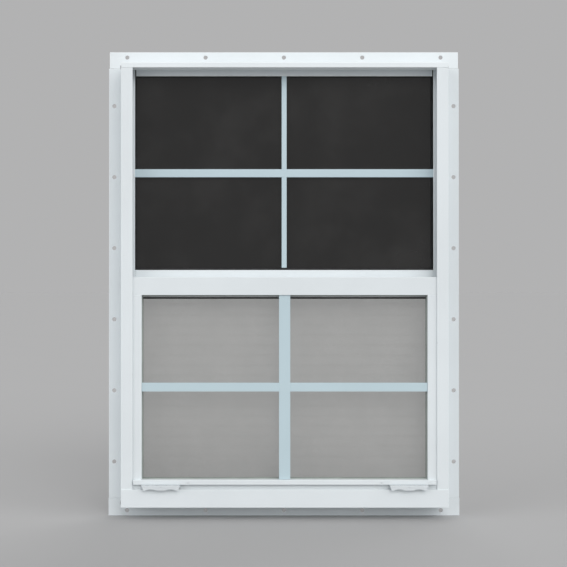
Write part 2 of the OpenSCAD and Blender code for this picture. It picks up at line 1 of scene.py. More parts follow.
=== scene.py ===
"""Looks of the single-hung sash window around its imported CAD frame. Metres, X right, Y outdoors, Z up."""

import json
import math
import random

import bmesh
import bpy
from mathutils import Matrix, Vector


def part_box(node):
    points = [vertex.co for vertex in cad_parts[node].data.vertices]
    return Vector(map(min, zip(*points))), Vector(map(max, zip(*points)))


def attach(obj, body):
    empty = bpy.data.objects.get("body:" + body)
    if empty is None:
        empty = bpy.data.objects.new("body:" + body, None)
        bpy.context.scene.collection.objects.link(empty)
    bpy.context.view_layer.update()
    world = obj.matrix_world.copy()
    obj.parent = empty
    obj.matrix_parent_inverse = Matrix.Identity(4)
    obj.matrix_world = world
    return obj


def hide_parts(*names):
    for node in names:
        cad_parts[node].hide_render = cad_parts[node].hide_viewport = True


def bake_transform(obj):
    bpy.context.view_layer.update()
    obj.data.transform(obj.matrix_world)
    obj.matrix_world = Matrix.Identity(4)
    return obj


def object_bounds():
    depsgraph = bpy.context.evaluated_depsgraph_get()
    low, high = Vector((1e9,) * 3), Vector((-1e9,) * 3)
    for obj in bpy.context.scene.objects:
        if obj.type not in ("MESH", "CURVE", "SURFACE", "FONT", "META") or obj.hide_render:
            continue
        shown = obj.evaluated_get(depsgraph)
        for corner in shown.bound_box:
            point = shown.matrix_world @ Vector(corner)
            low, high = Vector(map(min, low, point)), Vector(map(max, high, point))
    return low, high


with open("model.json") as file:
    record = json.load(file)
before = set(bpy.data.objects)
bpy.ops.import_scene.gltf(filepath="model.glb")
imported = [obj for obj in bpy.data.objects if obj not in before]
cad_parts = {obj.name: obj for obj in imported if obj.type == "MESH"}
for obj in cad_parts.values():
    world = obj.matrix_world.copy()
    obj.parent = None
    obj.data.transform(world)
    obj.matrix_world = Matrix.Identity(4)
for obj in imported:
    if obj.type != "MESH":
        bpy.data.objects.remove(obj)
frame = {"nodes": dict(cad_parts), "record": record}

CAD_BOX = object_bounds()
NODES = frame["nodes"]
MM = 0.001
FRAME, SASH = "frame", "sash"

# ---------- camera and studio ----------

CAMERA_LENS = 66.64
CAMERA_PLACE = (-0.0486, -1.5, -0.0067)
CAMERA_PITCH_DEG = 0.214
CAMERA_SHIFT = (0.0592, 0.0017)

WORLD_GREY = (0.445, 0.445, 0.448)
FLOOR_SIZE = 160.0

# Name, direction towards the lamp, watts a square metre, width in degrees, colour.
# Only the key is mirrored: the others are so wide that their discs would show in the panes.
SUNS = [
    ("key", (0.174, -0.80, 0.565), 1.02, 38.0, (1.0, 0.99, 0.98)),
    ("right", (0.742, -0.520, 0.423), 0.85, 50.0, (1.0, 0.995, 0.99)),
    ("left", (-0.819, -0.512, 0.259), 1.00, 50.0, (0.98, 0.99, 1.0)),
    ("back", (0.35, 0.75, 0.56), 0.80, 60.0, (1.0, 1.0, 1.0)),
]
MIRRORED_SUN = "key"


def aimed(place, target):
    """Matrix of something at place that looks at target."""
    back = Vector(place) - Vector(target)
    return Matrix.Translation(place) @ back.to_track_quat("Z", "Y").to_matrix().to_4x4()


def add_camera():
    data = bpy.data.cameras.new("camera")
    data.sensor_width = 36.0
    data.lens = CAMERA_LENS
    data.shift_x, data.shift_y = CAMERA_SHIFT
    data.clip_start, data.clip_end = 0.05, 300.0
    camera = bpy.data.objects.new("camera", data)
    camera.location = CAMERA_PLACE
    camera.rotation_euler = (math.radians(90 + CAMERA_PITCH_DEG), 0.0, 0.0)
    bpy.context.scene.collection.objects.link(camera)
    bpy.context.scene.camera = camera


def add_sun(name, towards, strength, wide_deg, colour):
    data = bpy.data.lights.new(name, "SUN")
    data.energy, data.angle, data.color = strength, math.radians(wide_deg), colour
    lamp = bpy.data.objects.new(name, data)
    lamp.matrix_world = aimed(towards, (0.0, 0.0, 0.0))
    lamp.visible_glossy = name == MIRRORED_SUN
    bpy.context.scene.collection.objects.link(lamp)


def floor_grey():
    """The floor colour that looks just like the world behind it, so that no horizon shows."""
    found = []
    for channel, grey in enumerate(WORLD_GREY):
        lit = grey
        for _, towards, strength, _, colour in SUNS:
            lit += strength * colour[channel] * Vector(towards).normalized().z / math.pi
        found.append(grey / lit)
    return tuple(found)


def add_studio():
    scene = bpy.context.scene
    scene.view_settings.view_transform = "Standard"
    world = bpy.data.worlds.new("studio")
    world.use_nodes = True
    background = world.node_tree.nodes["Background"]
    background.inputs["Color"].default_value = (*WORLD_GREY, 1.0)
    background.inputs["Strength"].default_value = 1.0
    scene.world = world
    for row in SUNS:
        add_sun(*row)
    half, low = FLOOR_SIZE / 2, CAD_BOX[0].z
    mesh = bpy.data.meshes.new("floor")
    corners = [(-half, -half, low), (half, -half, low), (half, half, low), (-half, half, low)]
    mesh.from_pydata(corners, [], [(0, 1, 2, 3)])
    floor = bpy.data.objects.new("floor", mesh)
    scene.collection.objects.link(floor)
    grey = floor_grey()
    look = Look("floor_paper", base=grey, roughness=0.85, Specular_IOR_Level=0.0)
    look.colours(look.noise(3.0, 3), grey, shade(grey, 0.985))
    mesh.materials.append(look.material)


# ---------- materials ----------


class Look:
    """One procedural material. Its patterns lie in the window's own frame, in metres."""

    def __init__(self, name, base=(0.5, 0.5, 0.5), roughness=0.5, **sockets):
        self.material = bpy.data.materials.new(name)
        self.material.use_nodes = True
        self.nodes = self.material.node_tree.nodes
        self.links = self.material.node_tree.links
        self.shader = self.nodes["Principled BSDF"]
        self.place = self.nodes.new("ShaderNodeTexCoord").outputs["Object"]
        self.material.diffuse_color = (*base, 1.0)
        self.set("Base Color", (*base, 1.0))
        self.set("Roughness", roughness)
        for socket, value in sockets.items():
            self.set(socket.replace("_", " "), value)

    def set(self, socket, value):
        self.shader.inputs[socket].default_value = value

    def add(self, kind, inputs=(), **settings):
        """A node of that kind; inputs are (socket, value or output) pairs."""
        node = self.nodes.new("ShaderNode" + kind)
        for key, value in settings.items():
            setattr(node, key, value)
        for socket, value in inputs:
            if isinstance(value, bpy.types.NodeSocket):
                self.links.new(value, node.inputs[socket])
            else:
                node.inputs[socket].default_value = value
        return node

    def noise(self, scale, detail=2.0, stretch=(1.0, 1.0, 1.0), rough=0.5):
        """Noise from 0 to 1, with scale features a metre; stretch over 1 makes it finer along that axis."""
        place = self.place
        if stretch != (1.0, 1.0, 1.0):
            place = self.add("Mapping", [("Vector", place), ("Scale", stretch)]).outputs[0]
        pairs = [("Vector", place), ("Scale", scale), ("Detail", detail), ("Roughness", rough)]
        return self.add("TexNoise", pairs).outputs["Fac"]

    def fit(self, value, low, high, to_low=0.0, to_high=1.0):
        """value from low..high to to_low..to_high, smoothly and clamped."""
        pairs = [("Value", value), ("From Min", low), ("From Max", high),
                 ("To Min", to_low), ("To Max", to_high)]
        return self.add("MapRange", pairs, interpolation_type="SMOOTHSTEP").outputs[0]

    def times(self, a, b):
        return self.add("Math", [(0, a), (1, b)], operation="MULTIPLY").outputs[0]

    def plus(self, a, b):
        return self.add("Math", [(0, a), (1, b)], operation="ADD").outputs[0]

    def mixed(self, share, a, b):
        """Colour a at share 0 and b at share 1."""
        node = self.add("Mix", data_type="RGBA")
        for socket, value in ((0, share), (6, a), (7, b)):
            if isinstance(value, bpy.types.NodeSocket):
                self.links.new(value, node.inputs[socket])
            else:
                node.inputs[socket].default_value = (*value, 1.0) if socket else value
        return node.outputs[2]

    def into(self, socket, value):
        self.links.new(value, self.shader.inputs[socket])

    def colours(self, share, a, b):
        """Base colour a at share 0 and b at share 1."""
        self.into("Base Color", self.mixed(share, a, b))

    def bump(self, height, depth_mm, strength=1.0):
        """Surface relief, depth_mm deep."""
        pairs = [("Height", height), ("Distance", depth_mm * MM), ("Strength", strength)]
        self.into("Normal", self.add("Bump", pairs).outputs[0])


def shade(colour, factor):
    return tuple(c * factor for c in colour)


DUST = (0.42, 0.41, 0.38)
BARE_METAL = (0.56, 0.57, 0.58)
PEEL_MM = 0.05


def powder_coat(name, colour, rough=(0.34, 0.46), dust=0.10, worn_and_highlit_edge=False):
    """Satin powder coat: faint clouding, orange peel, dust on ledges, and on an edge worn chips plus lighter
    patches as a painted highlight.
    """
    look = Look(name, base=colour, roughness=sum(rough) / 2)
    cloud = look.fit(look.noise(7.0, 3.0), 0.3, 0.7)
    coat = look.mixed(cloud, colour, shade(colour, 0.965))
    speck = look.fit(look.noise(420.0, 2.0), 0.62, 0.8)
    coat = look.mixed(look.times(speck, 0.10), coat, shade(colour, 0.72))
    up = look.add("SeparateXYZ", [(0, look.add("NewGeometry").outputs["Normal"])]).outputs["Z"]
    dusty = look.fit(look.noise(60.0, 4.0, rough=0.65), 0.35, 0.75, 0.25, 1.0)
    ledge = look.times(look.fit(up, 0.5, 1.0), dusty)
    coat = look.mixed(look.times(ledge, dust), coat, DUST)
    roughness = look.plus(look.fit(look.noise(35.0, 3.0), 0.3, 0.7, *rough), look.times(ledge, 0.12))
    if worn_and_highlit_edge:
        chip = look.fit(look.noise(260.0, 3.0, rough=0.7), 0.62, 0.66)
        rub_and_highlight = look.fit(look.noise(28.0, 2.0), 0.45, 0.7)
        worn = look.times(chip, rub_and_highlight)
        coat = look.mixed(worn, coat, BARE_METAL)
        look.into("Metallic", look.times(worn, 0.75))
        # painted highlight: a quarter of the rubbed patches turn a brighter white
        coat = look.mixed(look.times(rub_and_highlight, 0.25), coat, shade(colour, 1.04))
    look.into("Base Color", coat)
    look.into("Roughness", roughness)
    peel = look.plus(look.noise(520.0, 1.5), look.times(look.noise(60.0, 2.0), 1.5))
    look.bump(peel, PEEL_MM, 0.5)
    return look.material


def rubber(name, colour):
    """Matt extruded rubber with a chalky bloom and fine lines along it."""
    look = Look(name, base=colour, roughness=0.72)
    bloom = look.fit(look.noise(45.0, 4.0, rough=0.6), 0.4, 0.8)
    look.colours(look.times(bloom, 0.35), colour, tuple(min(1.0, c * 1.9 + 0.02) for c in colour))
    look.into("Roughness", look.fit(look.noise(90.0, 2.0), 0.3, 0.7, 0.62, 0.84))
    look.bump(look.noise(300.0, 3.0), 0.06, 0.6)
    return look.material


SCUFFING = 0.12


def plastic(name, colour, rough=(0.28, 0.42), glow=0.0):
    """Moulded plastic: faint flow marks, a fine spark-eroded grain and scuffs."""
    look = Look(name, base=colour, roughness=sum(rough) / 2)
    look.set("Subsurface Weight", glow)
    look.set("Subsurface Radius", (0.0012, 0.0012, 0.0014))
    flow = look.fit(look.noise(22.0, 3.0, stretch=(0.4, 1.0, 1.6)), 0.3, 0.7)
    body = look.mixed(flow, colour, shade(colour, 0.95))
    scuff = look.fit(look.noise(150.0, 3.0, stretch=(1.0, 1.0, 5.0), rough=0.7), 0.62, 0.72)
    look.colours(look.times(scuff, SCUFFING), body, shade(colour, 0.6))
    gloss = look.fit(look.noise(50.0, 2.0), 0.3, 0.7, *rough)
    look.into("Roughness", look.plus(gloss, look.times(scuff, 0.2)))
    look.bump(look.noise(380.0, 2.0), 0.03, 0.5)
    return look.material


PATINA = (0.33, 0.33, 0.32)


def metal(name, colour, rough=(0.25, 0.42), stretch=(1.0, 1.0, 1.0)):
    """Plated steel with a cloudy passivation and fine drawing lines."""
    look = Look(name, base=colour, roughness=0.33, Metallic=1.0)
    cloud = look.fit(look.noise(240.0, 4.0, rough=0.6), 0.35, 0.75)
    look.colours(look.times(cloud, 0.5), colour, PATINA)
    lines = look.noise(900.0, 2.0, stretch=stretch)
    look.into("Roughness", look.fit(look.plus(lines, cloud), 0.5, 1.5, *rough))
    look.bump(lines, 0.015, 0.6)
    return look.material


PANE_ROUGHNESS = 0.02


def glass(name, through, film, film_share, straight):
    """A thin pane. What passes through is tinted, and a share of the face is a dull film. Each face mirrors
    the share `straight` when seen straight on, and more the more it slants."""
    look = Look(name, base=film)
    nodes, links = look.nodes, look.links
    smear = look.fit(look.noise(9.0, 4.0, rough=0.6), 0.35, 0.75)
    clear = look.add("BsdfTransparent", [("Color", (*through, 1.0))])
    dust = look.add("BsdfDiffuse", [("Color", (*film, 1.0))])
    share = look.fit(smear, 0.0, 1.0, film_share * 0.75, film_share * 1.25)
    body = look.add("MixShader", [(0, share), (1, clear.outputs[0]), (2, dust.outputs[0])])
    shine = look.add("BsdfGlossy", [("Color", (1, 1, 1, 1)), ("Roughness", PANE_ROUGHNESS)])
    # Unlike Fresnel, Facing is the same from inside the pane, so a slanting view never mirrors fully
    facing = look.add("LayerWeight", [("Blend", 0.5)]).outputs["Facing"]
    steep = look.add("Math", [(0, facing), (1, 5.0)], operation="POWER").outputs[0]
    mirror = look.plus(look.times(steep, 1.0 - straight), straight)
    both = look.add("MixShader", [(0, mirror), (1, body.outputs[0]), (2, shine.outputs[0])])
    links.new(both.outputs[0], nodes["Material Output"].inputs["Surface"])
    nodes.remove(look.shader)
    return look.material


def cloth_strand(name, colour):
    """Vinyl-coated glass yarn: waxy grey with a fine twist."""
    look = Look(name, base=colour, roughness=0.5)
    tone = look.fit(look.noise(30.0, 4.0, rough=0.7), 0.3, 0.7)
    grain = look.fit(look.noise(700.0, 2.0), 0.3, 0.7)
    body = look.mixed(tone, shade(colour, 1.1), shade(colour, 0.88))
    look.colours(grain, body, shade(colour, 0.93))
    look.into("Roughness", look.fit(grain, 0.0, 1.0, 0.42, 0.6))
    look.bump(look.noise(2500.0, 1.0), 0.02, 0.6)
    return look.material


def pile_fibre(name, colour):
    """Fuzzy fibre whose tufts differ in tone."""
    look = Look(name, base=colour, roughness=0.85)
    look.set("Sheen Weight", 0.3)
    tuft = look.fit(look.noise(650.0, 2.0), 0.3, 0.7)
    look.colours(tuft, shade(colour, 0.7), shade(colour, 1.25))
    look.bump(look.noise(1800.0, 2.0), 0.08, 0.7)
    return look.material


WHITE = (0.755, 0.805, 0.83)
# Painted shade and reflection: the grid's white is made darker and bluer, standing in for its shade and the
# reflected sky behind the glass
GRID = (0.52, 0.643, 0.696)
SCREEN_WHITE = (0.74, 0.76, 0.77)
LATCH_WHITE = (0.68, 0.725, 0.75)
PLUG_WHITE = (0.70, 0.72, 0.72)
BLACK = (0.012, 0.012, 0.013)
GASKET_GREY = (0.27, 0.30, 0.28)
YARN_GREY = (0.428, 0.421, 0.420)
PILE_GREY = (0.25, 0.26, 0.26)
ZINC = (0.60, 0.61, 0.63)
STEEL = (0.62, 0.63, 0.64)

# What passes through, the film, the film's share, and the mirrored share seen straight on
TINTED_PANE = ((0.060, 0.060, 0.060), (0.036, 0.035, 0.034), 0.5, 0.04)
CLEAR_PANE = ((0.970, 0.972, 0.966), (0.34, 0.34, 0.33), 0.012, 0.015)

# Painted highlight: a rounded edge's coat is this much brighter than its faces, up to a colour that still
# reflects less than it gets
EDGE_PAINTED_HIGHLIGHT = 1.12
EDGE_BRIGHTEST = 0.95
# Painted light: the head and fixed rail get brighter copies of their slot's white coat, standing in for the
# stronger light that falls on them
NODE_PAINTED_LIGHT = {"head": 1.07, "fixed_rail": 1.03}


def make_looks():
    """Material slot or node name: (face material, edge material). A coat's edge material is a brighter copy
    of it, a painted highlight.
    """
    def coat(name, colour, **more):
        # painted highlight: the edge coat is the face colour made brighter, and it also gets real worn chips
        edge = tuple(min(EDGE_BRIGHTEST, c) for c in shade(colour, EDGE_PAINTED_HIGHLIGHT))
        return powder_coat(name, colour, **more), powder_coat(name + "_edge", edge, worn_and_highlit_edge=True, **more)

    # painted light: lit copies of the white coat for the head and fixed rail
    painted_light_coats = {node: coat(node + "_coat", shade(WHITE, tone)) for node, tone in NODE_PAINTED_LIGHT.items()}
    return painted_light_coats | {  # glass, rubber and the like have no edge material of their own
        "white_frame": coat("frame_coat", WHITE),
        "white_sash": coat("sash_coat", shade(WHITE, 0.995), rough=(0.32, 0.44)),
        "grid_white": coat("grid_coat", GRID, rough=(0.36, 0.48), dust=0.06),
        "screen_paint": coat("screen_coat", SCREEN_WHITE, rough=(0.3, 0.42)),
        "tinted_glass": (glass("tinted_pane", *TINTED_PANE),) * 2,
        "clear_glass": (glass("clear_pane", *CLEAR_PANE),) * 2,
        "black_rubber": (rubber("black_rubber", BLACK),) * 2,
        "grey_rubber": (rubber("grey_rubber", GASKET_GREY),) * 2,
        "white_plastic": (plastic("white_plastic", PLUG_WHITE),) * 2,
        "latch_plastic": (plastic("latch_plastic", LATCH_WHITE, rough=(0.2, 0.32), glow=0.05),) * 2,
        "screen_cloth": (cloth_strand("screen_yarn", YARN_GREY),) * 2,
        "grey_pile": (pile_fibre("pile_fibre", PILE_GREY),) * 2,
        "screw_steel": (metal("screw_zinc", ZINC),) * 2,
        "spring_steel": (metal("spring_steel", STEEL, rough=(0.18, 0.3), stretch=(1.0, 0.15, 1.0)),) * 2,
    }


# ---------- CAD nodes that keep their shape ----------

# Slot: (radius, shortest edge that is rounded) of its CAD nodes, in mm
EDGES = {
    "white_frame": (0.45, 6.0),
    "white_sash": (0.45, 6.0),
    "grid_white": (0.30, 6.0),
    "screen_paint": (0.30, 12.0),
    "white_plastic": (0.30, 12.0),
    "latch_plastic": (0.45, 2.5),
    "tinted_glass": (0.30, 6.0),
    "clear_glass": (0.30, 6.0),
}
EDGE_SEGMENTS = 2
SHARP_EDGE_DEG = 35
FLAT_DEG = 0.4
WELD_GAP = 0.004 * MM
FACE_WEIGHT = 80


def long_edges(shortest_mm):
    """Node group for bevel weights: 1 on the outer corners over that length, and 0 on all other edges."""
    group = bpy.data.node_groups.new(f"long_edges_{shortest_mm:g}", "GeometryNodeTree")
    group.interface.new_socket("Geometry", in_out="INPUT", socket_type="NodeSocketGeometry")
    group.interface.new_socket("Geometry", in_out="OUTPUT", socket_type="NodeSocketGeometry")
    nodes, links = group.nodes, group.links
    start, end = nodes.new("NodeGroupInput"), nodes.new("NodeGroupOutput")
    ends = nodes.new("GeometryNodeInputMeshEdgeVertices")
    length = nodes.new("ShaderNodeVectorMath")
    length.operation = "DISTANCE"
    links.new(ends.outputs["Position 1"], length.inputs[0])
    links.new(ends.outputs["Position 2"], length.inputs[1])
    angle = nodes.new("GeometryNodeInputMeshEdgeAngle").outputs["Signed Angle"]
    both = nodes.new("ShaderNodeMath")
    both.operation = "MULTIPLY"
    tests = ((length.outputs["Value"], shortest_mm * MM), (angle, math.radians(SHARP_EDGE_DEG)))
    for k, (value, least) in enumerate(tests):
        over = nodes.new("ShaderNodeMath")
        over.operation = "GREATER_THAN"
        links.new(value, over.inputs[0])
        over.inputs[1].default_value = least
        links.new(over.outputs[0], both.inputs[k])
    store = nodes.new("GeometryNodeStoreNamedAttribute")
    store.data_type, store.domain = "FLOAT", "EDGE"
    store.inputs["Name"].default_value = "bevel_weight_edge"
    links.new(start.outputs[0], store.inputs["Geometry"])
    links.new(both.outputs[0], store.inputs["Value"])
    links.new(store.outputs[0], end.inputs[0])
    return group


def soften(cad, radius_mm, shortest_mm):
    """Rounds a CAD node's long outer corners; the rounded strips take its second material, which on a coat
    is a brighter copy as a painted highlight.
    """
    weld = cad.modifiers.new("weld", "WELD")
    weld.merge_threshold = WELD_GAP
    flat = cad.modifiers.new("flat", "DECIMATE")
    flat.decimate_type, flat.angle_limit = "DISSOLVE", math.radians(FLAT_DEG)
    flat.delimit = {"NORMAL"}
    choose = cad.modifiers.new("choose", "NODES")
    choose.node_group = bpy.data.node_groups.get(f"long_edges_{shortest_mm:g}") or long_edges(shortest_mm)
    round_off = cad.modifiers.new("round", "BEVEL")
    round_off.width, round_off.segments = radius_mm * MM, EDGE_SEGMENTS
    round_off.limit_method, round_off.use_clamp_overlap = "WEIGHT", False
    round_off.material = 1
    even = cad.modifiers.new("even", "WEIGHTED_NORMAL")
    even.keep_sharp, even.weight = True, FACE_WEIGHT


def dress(cad, looks, slot):
    """Gives a CAD node the materials of its slot, and rounds its edges if the slot says so."""
    mesh = cad.data
    mesh.materials.clear()
    for material in looks.get(cad.name, looks[slot]):
        mesh.materials.append(material)
    for polygon in mesh.polygons:
        polygon.material_index = 0
    if slot in EDGES:
        soften(cad, *EDGES[slot])


# ---------- pieces that stand for CAD nodes ----------


def piece(name, bm, material, body, replaced):
    """A finished bmesh as a piece on that body. With no body, it is left unattached."""
    bmesh.ops.recalc_face_normals(bm, faces=bm.faces)
    mesh = bpy.data.meshes.new(name)
    bm.to_mesh(mesh)
    bm.free()
    mesh.materials.append(material)
    mesh.shade_smooth()
    mesh.set_sharp_from_angle(angle=math.radians(SHARP_EDGE_DEG))
    made = bpy.data.objects.new(name, mesh)
    bpy.context.scene.collection.objects.link(made)
    if body:
        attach(made, body)
    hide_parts(*replaced)
    return made


def skin(bm, a, b):
    """Quads between two closed rings of vertices."""
    for i in range(len(a)):
        j = (i + 1) % len(a)
        bm.faces.new((a[i], a[j], b[j], b[i]))


def tube(bm, stations, closed=False):
    """Skins a row of point rings. Both ends are capped unless closed joins the last to the first."""
    rings = [[bm.verts.new(p) for p in ring] for ring in stations]
    for a, b in zip(rings, rings[1:]):
        skin(bm, a, b)
    if closed:
        skin(bm, rings[-1], rings[0])
    else:
        bm.faces.new(rings[0][::-1])
        bm.faces.new(rings[-1])


def rect_loop(bm, profile, low, high, y):
    """Sweeps a closed profile round an upright rectangle with mitred corners.
    profile holds (inwards from the rectangle, outdoors from y) pairs."""
    corners = [(low[0], low[1], 1, 1), (high[0], low[1], -1, 1),
               (high[0], high[1], -1, -1), (low[0], high[1], 1, -1)]
    stations = [[(x + sx * u, y + v, z + sz * u) for u, v in profile] for x, z, sx, sz in corners]
    tube(bm, stations, closed=True)


def arc(centre, radius, start_deg, end_deg, steps):
    """Points of an arc; radius may be one number or two."""
    rx, ry = radius if isinstance(radius, tuple) else (radius, radius)
    found = []
    for i in range(steps + 1):
        a = math.radians(start_deg + (end_deg - start_deg) * i / steps)
        found.append((centre[0] + rx * math.cos(a), centre[1] + ry * math.sin(a)))
    return found


# Insect screen: 18 yarns an inch across and 16 up and down
YARN_PITCH = (25.4 / 18 * MM, 25.4 / 16 * MM)
YARN_WIDE = 0.40 * MM
YARN_THICK = 0.28 * MM
YARN_STEP = 22.0 * MM
YARN_STRAY = 0.004 * MM
STRAY_SEED = 4


def yarn(bm, along, low, high, across, y, stray):
    """One yarn of the screen along X or Z, with a slight wander."""
    steps = max(2, round((high - low) / YARN_STEP))
    half = YARN_WIDE / 2
    section = [(half, 0.0), (half / 2, YARN_THICK / 2), (-half / 2, YARN_THICK / 2),
               (-half, 0.0), (-half / 2, -YARN_THICK / 2), (half / 2, -YARN_THICK / 2)]
    stations = []
    for i in range(steps + 1):
        at = low + (high - low) * i / steps
        off = across + (stray.uniform(-YARN_STRAY, YARN_STRAY) if 0 < i < steps else 0.0)
        if along == "x":
            stations.append([(at, y + v, off + u) for u, v in section])
        else:
            stations.append([(off + u, y + v, at) for u, v in section])
    tube(bm, stations)


def screen_cloth(looks):
    """The insect screen: upright yarns in front, level yarns behind."""
    low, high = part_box("screen_mesh")
    stray = random.Random(STRAY_SEED)
    bm = bmesh.new()
    front, back = low.y + YARN_THICK / 2, high.y - YARN_THICK / 2
    for along, y, pitch in (("z", front, YARN_PITCH[0]), ("x", back, YARN_PITCH[1])):
        a, b = (0, 2) if along == "z" else (2, 0)
        count = int((high[a] - low[a] - YARN_WIDE - 2 * YARN_STRAY) / pitch)
        first = (low[a] + high[a] - count * pitch) / 2
        for i in range(count + 1):
            yarn(bm, along, low[b], high[b], first + i * pitch, y, stray)
    cloth = piece("screen_cloth", bm, looks["screen_cloth"][0], FRAME, ["screen_mesh"])


CORD_WIDE = 2.2 * MM
CORD_RADIUS = CORD_WIDE / 2 - 0.05 * MM
CORD_RIB = 0.07 * MM
CORD_POINTS = 24
CORD_OVER_CLOTH = 0.3 * MM


def spline_cord(looks):
    """Ribbed cord pressed into the screen's groove."""
    low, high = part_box("screen_spline")
    cloth_low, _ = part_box("screen_mesh")
    profile = []
    for i in range(CORD_POINTS):
        a = 2 * math.pi * i / CORD_POINTS
        r = CORD_RADIUS - (CORD_RIB if i % 3 == 0 else 0.0)
        profile.append((CORD_WIDE / 2 + r * math.cos(a), r * math.sin(a)))
    bm = bmesh.new()
    y = cloth_low.y + CORD_OVER_CLOTH + CORD_RADIUS
    rect_loop(bm, profile, (low.x, low.z), (high.x, high.z), y)
    piece("screen_spline_cord", bm, looks["black_rubber"][0], FRAME, ["screen_spline"])


CHANNEL_CUT = 0.3 * MM


def channel_profile(wide, deep, slot_start, slot_half, lip):
    """A glazing channel: wide inwards, deep through, with a slot for the glass and soft lips."""
    half = deep / 2
    inner = 0.35 * (half - slot_half)
    return (
        [(0.0, -half + CHANNEL_CUT), (CHANNEL_CUT, -half)]
        + arc((wide - lip, -half + lip), lip, -90, 0, 4)
        + arc((wide - inner, -slot_half - inner), inner, 0, 90, 3)
        + [(slot_start, -slot_half), (slot_start, slot_half)]
        + arc((wide - inner, slot_half + inner), inner, -90, 0, 3)
        + arc((wide - lip, half - lip), lip, 0, 90, 4)
        + [(CHANNEL_CUT, half), (0.0, half - CHANNEL_CUT)]
    )


# Piece, CAD gasket, its pane, body, slot, width inwards and radius of the lips
GASKETS = [
    ("upper_glazing_channel", "upper_gasket", "upper_glass", FRAME, "black_rubber", 11.4 * MM, 1.2 * MM),
    ("sash_glazing_channel", "sash_gasket", "sash_glass", SASH, "grey_rubber", 8.1 * MM, 0.7 * MM),
]


def glazing_gasket(looks, name, node, pane, body, slot, wide, lip):
    """A rubber channel round a pane, inside the CAD gasket's box."""
    low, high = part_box(node)
    glass_low, glass_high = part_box(pane)
    slot_start, slot_half = glass_low.x - low.x, (glass_high.y - glass_low.y) / 2
    profile = channel_profile(wide, high.y - low.y, slot_start, slot_half, lip)
    bm = bmesh.new()
    rect_loop(bm, profile, (low.x, low.z), (high.x, high.z), (low.y + high.y) / 2)
    piece(name, bm, looks[slot][0], body, [node])


BULB_BASE = 0.5 * MM
BULB_WALL = 0.5 * MM
BULB_HOLLOW_TOP = 0.6 * MM
BULB_STEPS = 14


def bulb_seal(looks):
    """Hollow bulb under the sash, on a flat base."""
    low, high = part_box("bottom_seal")
    half, tall = (high.y - low.y) / 2, high.z - low.z
    mid = (low.y + high.y) / 2

    def bowl(top, inset):
        radii = (half - inset, tall - top - inset)
        return [(mid + u, high.z + v) for u, v in arc((0, -top), radii, -180, 0, BULB_STEPS)]

    outer = bowl(BULB_BASE, 0.0) + [(high.y, high.z), (low.y, high.z)]
    inner = bowl(BULB_HOLLOW_TOP, BULB_WALL)
    bm = bmesh.new()
    ends = []
    for points in (outer, inner):
        rings = [[bm.verts.new((x, y, z)) for y, z in points] for x in (low.x, high.x)]
        skin(bm, *rings)
        ends.append(rings)
    for side in (0, 1):
        loop = [e for r in ends for v in r[side] for e in v.link_edges if e.other_vert(v) in r[side]]
        bmesh.ops.triangle_fill(bm, edges=list(set(loop)), use_beauty=True)
    piece("bottom_bulb_seal", bm, looks["grey_rubber"][0], SASH, ["bottom_seal"])


PILE_NODES = ("left_stile_pile", "right_stile_pile", "meeting_rail_pile")
PILE_SEED = 11
PILE_BACKING = 0.3 * MM
PILE_STEP = 1.0 * MM
TUFT_REACH = 0.38 * PILE_STEP
TUFT_ROOT = 0.05 * MM
TUFT_STRAY = 0.12
TIP_STRAY = 0.1 * PILE_STEP
TUFT_TURNS = [k * 2.0944 for k in range(3)]


def pile_strip(looks, node, seed):
    """A woven backing with rows of short tufts that brush the parting fin."""
    low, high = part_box(node)
    rng = random.Random(seed)
    bm = bmesh.new()
    root = low.y + PILE_BACKING
    corners = [(low.x, low.z), (high.x, low.z), (high.x, high.z), (low.x, high.z)]
    tube(bm, [[(x, y, z) for x, z in corners] for y in (low.y, root)])
    across = max(2, int((high.x - low.x) / PILE_STEP))
    down = max(2, int((high.z - low.z) / PILE_STEP))
    for i in range(across):
        for j in range(down):
            x = low.x + (i + 0.5 + rng.uniform(-TUFT_STRAY, TUFT_STRAY)) * (high.x - low.x) / across
            z = low.z + (j + 0.5 + rng.uniform(-TUFT_STRAY, TUFT_STRAY)) * (high.z - low.z) / down
            tip = root + (high.y - root) * rng.uniform(0.72, 1.0)
            turn = rng.uniform(0, 2)
            foot = [(x + TUFT_REACH * math.cos(turn + a), root - TUFT_ROOT,
                     z + TUFT_REACH * math.sin(turn + a)) for a in TUFT_TURNS]
            ring = [bm.verts.new(p) for p in foot]
            top_x = x + rng.uniform(-TIP_STRAY, TIP_STRAY)
            top_z = z + rng.uniform(-TIP_STRAY, TIP_STRAY)
            top = bm.verts.new((top_x, tip, top_z))
            bm.faces.new(ring[::-1])
            for k in range(3):
                bm.faces.new((ring[k], ring[(k + 1) % 3], top))
    piece(node + "_brush", bm, looks["grey_pile"][0], SASH, [node])


# Pan-head screw, in mm: the head's outline as (radius, height), its recess and its thread
HEAD_RINGS = [(3.5, 0.0), (3.5, 0.8), (3.42, 1.25), (3.15, 1.68), (2.75, 1.98), (2.3, 2.2)]
RECESS_LONG, RECESS_HALF, RECESS_DEEP = 1.6, 0.42, 1.3
SHANK_LONG, THREAD_TOP, THREAD_ROOT, THREAD_PITCH = 20.0, 1.98, 1.55, 1.4
ROWS_A_TURN, TIP_ROWS = 4, 8
AROUND = 24
# How each screw came to rest, in degrees: the first one, and each next one further round
FIRST_TURN_DEG, NEXT_TURN_DEG = 17, 31


def cross_outline(long, half, z):
    """The cross recess as a ring of points at height z."""
    quarter = [(long, -half), (long, half), (half, half)]
    points = []
    for k in range(4):
        c, s = round(math.cos(k * math.pi / 2)), round(math.sin(k * math.pi / 2))
        points += [(c * x - s * y, s * x + c * y, z) for x, y in quarter]
    return points


